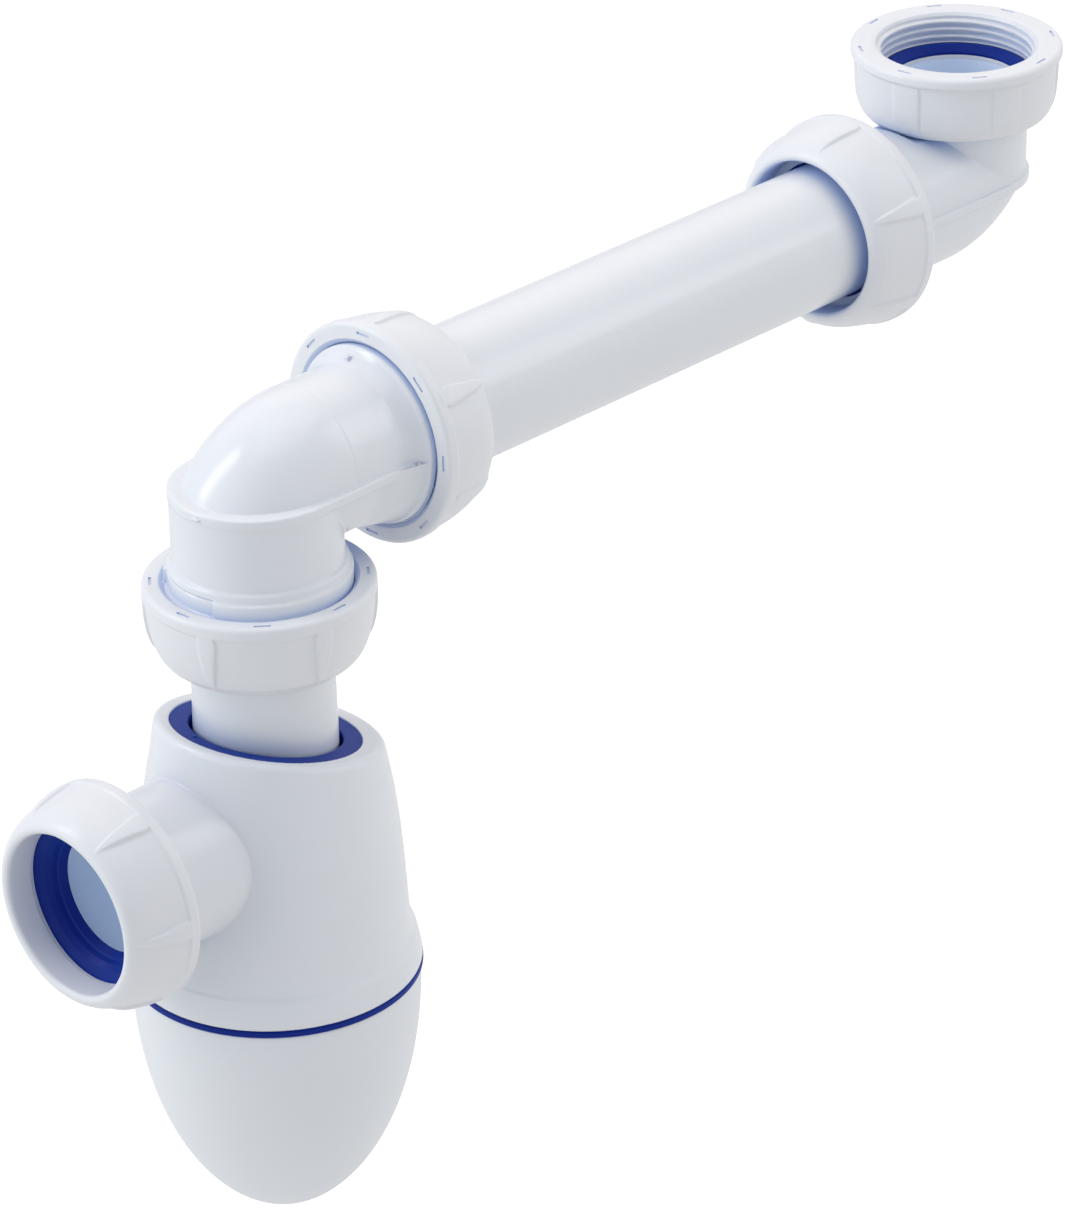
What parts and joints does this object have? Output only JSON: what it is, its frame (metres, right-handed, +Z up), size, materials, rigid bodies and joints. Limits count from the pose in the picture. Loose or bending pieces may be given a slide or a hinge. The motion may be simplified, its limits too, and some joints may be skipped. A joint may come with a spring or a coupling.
{
  "type": "bottle trap",
  "caption": "Space-saving bottle trap: threaded inlet nut and elbow, horizontal offset pipe, lower elbow, sliding dip tube, bottle body with side outlet and quarter-turn cleanout cup.",
  "frame": {"origin": "centre of the inlet sealing face, on the axis of the inlet thread", "axes": "+Z up along the inlet axis, out of the inlet nut's mouth; +X along the horizontal offset pipe, from the bottle towards the inlet; +Y across the trap"},
  "size_m": [0.3928, 0.0826, 0.2681],
  "materials": {
    "pp_gloss": "smooth moulded polypropylene, cool white, softly glossy",
    "pp_nut": "moulded polypropylene nut, slightly warmer white, satin",
    "pp_cup": "moulded polypropylene cup, white, satin",
    "pe_ring": "natural polyethylene slip ring, milky white, matt",
    "blue_rubber": "moulded rubber, saturated dark blue, satin"
  },
  "bodies": {
    "inlet_elbow": {"inlet_elbow": "pp_gloss", "inlet_washer": "blue_rubber", "pipe_seal": "blue_rubber"},
    "inlet_nut": {"inlet_nut": "pp_nut"},
    "pipe_slip_ring": {"pipe_slip_ring": "pe_ring"},
    "pipe_nut": {"pipe_nut": "pp_nut"},
    "offset_pipe": {"offset_pipe": "pp_gloss"},
    "lower_elbow": {"lower_elbow": "pp_gloss", "middle_seal": "blue_rubber", "lower_seal": "blue_rubber"},
    "middle_slip_ring": {"middle_slip_ring": "pe_ring"},
    "middle_nut": {"middle_nut": "pp_nut"},
    "lower_slip_ring": {"lower_slip_ring": "pe_ring"},
    "lower_nut": {"lower_nut": "pp_nut"},
    "dip_tube": {"dip_tube": "pp_gloss"},
    "bottle_body": {"bottle_body": "pp_gloss", "neck_seal": "blue_rubber", "outlet_seal": "blue_rubber"},
    "outlet_slip_ring": {"outlet_slip_ring": "pe_ring"},
    "outlet_nut": {"outlet_nut": "pp_nut"},
    "cup_gasket": {"cup_gasket": "blue_rubber"},
    "cleanout_cup": {"cleanout_cup": "pp_cup"}
  },
  "joints": [
    {"name": "inlet_nut_turn", "type": "hinge", "parent": "inlet_elbow", "child": "inlet_nut", "pos_m": [0, 0, 0], "axis": [0, 0, 1], "continuous": true},
    {"name": "pipe_nut_travel", "type": "slide", "parent": "inlet_elbow", "child": "pipe_slip_ring", "axis": [-1, 0, 0], "range_m": [0, 0.006]},
    {"name": "pipe_nut_turn", "type": "hinge", "parent": "pipe_slip_ring", "child": "pipe_nut", "pos_m": [-0.0449, 0, -0.033], "axis": [-1, 0, 0], "range_deg": [0, 540]},
    {"name": "pipe_extend", "type": "slide", "parent": "inlet_elbow", "child": "offset_pipe", "axis": [-1, 0, 0], "range_m": [-0.003, 0.015]},
    {"name": "pipe_roll", "type": "hinge", "parent": "offset_pipe", "child": "lower_elbow", "pos_m": [-0.2442, 0, -0.033], "axis": [1, 0, 0], "continuous": true},
    {"name": "middle_nut_travel", "type": "slide", "parent": "lower_elbow", "child": "middle_slip_ring", "axis": [1, 0, 0], "range_m": [0, 0.008]},
    {"name": "middle_nut_turn", "type": "hinge", "parent": "middle_slip_ring", "child": "middle_nut", "pos_m": [-0.2442, 0, -0.033], "axis": [1, 0, 0], "range_deg": [0, 720]},
    {"name": "lower_nut_travel", "type": "slide", "parent": "lower_elbow", "child": "lower_slip_ring", "axis": [0, 0, -1], "range_m": [0, 0.008]},
    {"name": "lower_nut_turn", "type": "hinge", "parent": "lower_slip_ring", "child": "lower_nut", "pos_m": [-0.286, 0, -0.0607], "axis": [0, 0, -1], "range_deg": [0, 720]},
    {"name": "riser_swivel", "type": "hinge", "parent": "lower_elbow", "child": "dip_tube", "pos_m": [-0.286, 0, -0.0757], "axis": [0, 0, 1], "continuous": true},
    {"name": "height_adjust", "type": "slide", "parent": "dip_tube", "child": "bottle_body", "axis": [0, 0, -1], "range_m": [-0.005, 0.025]},
    {"name": "outlet_nut_travel", "type": "slide", "parent": "bottle_body", "child": "outlet_slip_ring", "axis": [-1, 0, 0], "range_m": [0, 0.006]},
    {"name": "outlet_nut_turn", "type": "hinge", "parent": "outlet_slip_ring", "child": "outlet_nut", "pos_m": [-0.3404, 0, -0.1347], "axis": [-1, 0, 0], "range_deg": [0, 540]},
    {"name": "cup_release", "type": "slide", "parent": "bottle_body", "child": "cup_gasket", "axis": [0, 0, -1], "range_m": [0, 0.0012]},
    {"name": "cup_turn", "type": "hinge", "parent": "cup_gasket", "child": "cleanout_cup", "pos_m": [-0.286, 0, -0.1819], "axis": [0, 0, 1], "range_deg": [0, 50]}
  ],
  "couplings": [
    {"joint": "pipe_nut_travel", "follows": "pipe_nut_turn", "m_per_rad": 0.00063662},
    {"joint": "middle_nut_travel", "follows": "middle_nut_turn", "m_per_rad": 0.00063662},
    {"joint": "lower_nut_travel", "follows": "lower_nut_turn", "m_per_rad": 0.00063662},
    {"joint": "outlet_nut_travel", "follows": "outlet_nut_turn", "m_per_rad": 0.00063662},
    {"joint": "cup_release", "follows": "cup_turn", "m_per_rad": 0.0013751}
  ]
}
